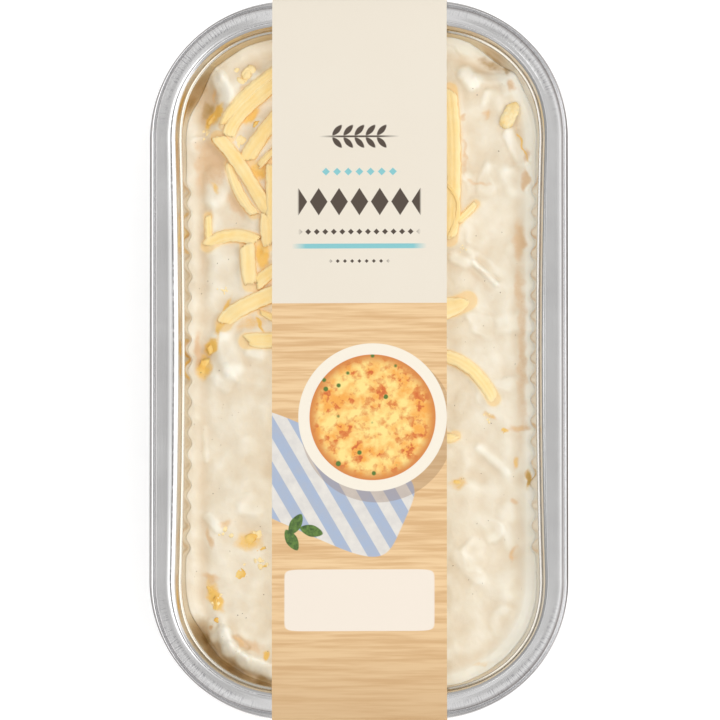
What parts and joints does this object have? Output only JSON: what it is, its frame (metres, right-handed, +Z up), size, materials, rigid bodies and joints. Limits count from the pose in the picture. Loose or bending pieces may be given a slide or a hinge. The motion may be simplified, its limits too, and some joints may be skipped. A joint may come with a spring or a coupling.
{
  "type": "potato gratin in a foil tray",
  "caption": "Unbaked potato gratin in cream sauce with grated cheese, in a ribbed foil tray held by a loop of card that it stands on.",
  "frame": {"origin": "middle of the sleeve's underside, which is the lowest face of the whole", "axes": "+Z up out of the open tray, +Y along the tray towards the end with the cheese, +X across the tray"},
  "size_m": [0.1282, 0.2214, 0.036],
  "materials": {
    "foil": "bright rolled foil, finely wrinkled round the corners",
    "sauce": null,
    "potato": "boiled potato, soft and a little grainy",
    "cheese": "grated semi-hard cheese, waxy",
    "card": "satin folding card with plain printed fields outside, uncoated inside"
  },
  "bodies": {
    "root": {"foil_tray": "foil", "gratin": "sauce", "potato_piece": "potato", "sleeve": "card"}
  },
  "joints": []
}
